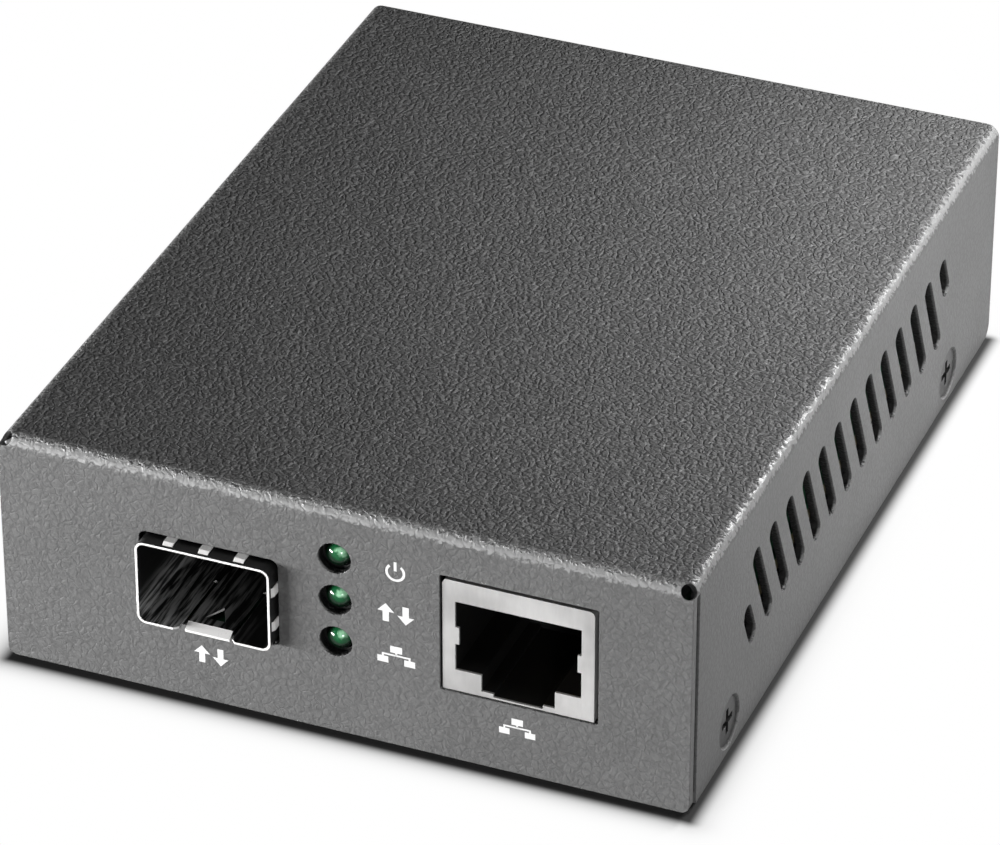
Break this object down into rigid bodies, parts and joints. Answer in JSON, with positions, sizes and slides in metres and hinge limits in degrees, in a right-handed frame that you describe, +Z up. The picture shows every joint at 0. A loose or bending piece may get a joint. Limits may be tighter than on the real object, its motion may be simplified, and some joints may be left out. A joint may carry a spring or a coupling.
{
  "type": "fibre media converter",
  "caption": "Small folded-steel network converter box with a pluggable optical slot, a shielded modular socket, indicator lamps, slanted side vents and a rear power inlet.",
  "frame": {"origin": "bottom centre of the case on the surface it stands on; the optical slot's cage stands a little proud of the panel beyond the case", "axes": "+Z up, -Y out of the panel with the optical slot and the modular socket, +Y out of the power inlet, +X to the modular socket's side"},
  "size_m": [0.073, 0.096, 0.027],
  "materials": {
    "case_paint": "fine wrinkle powder coat, satin",
    "tray_paint": "fine wrinkle powder coat, satin",
    "board": "solder mask over glass laminate, satin",
    "cage_steel": "nickel-plated sheet, satin",
    "shield_steel": "tinned sheet, satin",
    "black_insulator": "moulded, satin",
    "contact_metal": "gold-flashed spring strip, bright",
    "tinned_metal": "tinned, satin",
    "lamp_lens": "tinted clear moulding, glossy",
    "chip_black": "moulded, matt",
    "can_aluminium": "drawn can, satin",
    "ferrite": "pressed core, matt",
    "ceramic": "fired ceramic, matt",
    "screw_steel": "black-plated, satin",
    "screw_zinc": "zinc-plated, satin"
  },
  "bodies": {
    "root": {"cover": "case_paint", "base_tray": "tray_paint", "main_board": "board", "sfp_cage": "cage_steel", "sfp_connector": "black_insulator", "sfp_contacts": "contact_metal", "rj45_shield": "shield_steel", "rj45_housing": "black_insulator", "rj45_contacts": "contact_metal", "led_holder": "black_insulator", "power_led": "lamp_lens", "fibre_led": "lamp_lens", "copper_led": "lamp_lens", "led_leads": "tinned_metal", "dc_jack_housing": "black_insulator", "dc_jack_pin": "tinned_metal", "dc_jack_contacts": "tinned_metal", "line_transformer": "chip_black", "transformer_leads": "tinned_metal", "converter_chip": "chip_black", "memory_chip": "chip_black", "memory_leads": "tinned_metal", "regulator_chip": "chip_black", "regulator_leads": "tinned_metal", "crystal": "tinned_metal", "power_inductor": "ferrite", "input_capacitor": "can_aluminium", "output_capacitor": "can_aluminium", "chip_resistors": "chip_black", "chip_capacitors": "ceramic", "cover_screws": "screw_steel", "board_screws": "screw_zinc"}
  },
  "joints": []
}
